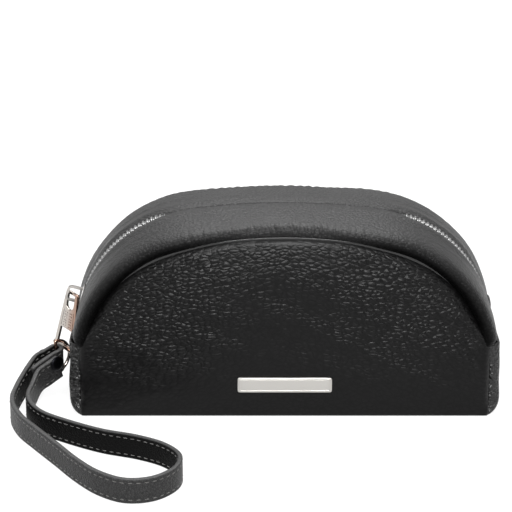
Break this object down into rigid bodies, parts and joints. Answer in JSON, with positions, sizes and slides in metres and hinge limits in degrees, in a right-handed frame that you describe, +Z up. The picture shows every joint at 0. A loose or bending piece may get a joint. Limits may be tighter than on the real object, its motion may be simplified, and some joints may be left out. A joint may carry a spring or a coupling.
{
  "type": "makeup bag",
  "caption": "Half-moon makeup bag in black pebbled leather with a zip over the top, a metal puller, a ring and a looped wrist strap.",
  "frame": {"origin": "centre of the base, on the surface that the bag stands on", "axes": "+X along the bag to its right end, -Y its front with the name plate, +Z up"},
  "size_m": [0.2384, 0.168, 0.0974],
  "materials": {
    "body_leather": "pebbled, semi-matt",
    "roof_leather": "fine grain, soft sheen",
    "strap_leather": "smooth, edge-painted and stitched",
    "lining_cloth": "plain weave",
    "padding": "open cell",
    "board": "plain",
    "zip_tape": "woven twill",
    "zip_metal": "polished nickel",
    "polished_metal": "polished nickel",
    "satin_nickel": "fine satin",
    "black_metal": "gloss black"
  },
  "bodies": {
    "bag": {"front_panel": "body_leather", "front_padding": "padding", "front_lining": "lining_cloth", "back_panel": "body_leather", "back_padding": "padding", "back_lining": "lining_cloth", "base_panel": "body_leather", "base_stiffener": "board", "base_lining": "lining_cloth", "left_end_panel": "body_leather", "right_end_panel": "body_leather", "left_end_lining": "lining_cloth", "right_end_lining": "lining_cloth", "roof_strip_front": "roof_leather", "roof_lining_front": "lining_cloth", "seam_binding_front": "zip_tape", "roof_strip_back": "roof_leather", "roof_lining_back": "lining_cloth", "seam_binding_back": "zip_tape", "zip_tape_front": "zip_tape", "zip_tape_back": "zip_tape", "zip_teeth_front": "zip_metal", "zip_teeth_back": "zip_metal", "zip_top_stops": "zip_metal", "zip_bottom_stop": "zip_metal", "name_plate": "satin_nickel", "name_plate_prongs": "satin_nickel", "name_plate_washers": "satin_nickel"},
    "slider": {"slider_body": "polished_metal", "slider_bridge": "polished_metal"},
    "puller": {"zip_puller": "satin_nickel"},
    "ring": {"strap_ring": "polished_metal"},
    "strap": {"wrist_strap": "strap_leather", "strap_rivet_post": "polished_metal", "strap_rivet_back": "black_metal", "strap_rivet_cap": "black_metal"}
  },
  "joints": [
    {"name": "slider_travel", "type": "hinge", "parent": "bag", "child": "slider", "pos_m": [-0.0386, 0, 0.03103], "axis": [0, 1, 0], "range_deg": [0, 46]},
    {"name": "puller_swing", "type": "hinge", "parent": "slider", "child": "puller", "pos_m": [-0.10522, 0, 0.04938], "axis": [0, 1, 0], "range_deg": [0, 100]},
    {"name": "ring_swing", "type": "hinge", "parent": "puller", "child": "ring", "pos_m": [-0.11034, 0, 0.02033], "axis": [-0.6841, 0.7193, 0.1206], "range_deg": [0, 15]},
    {"name": "strap_swing", "type": "hinge", "parent": "ring", "child": "strap", "pos_m": [-0.11434, -0.00392, 0.01793], "axis": [0, 0, -1], "range_deg": [0, 60]}
  ]
}
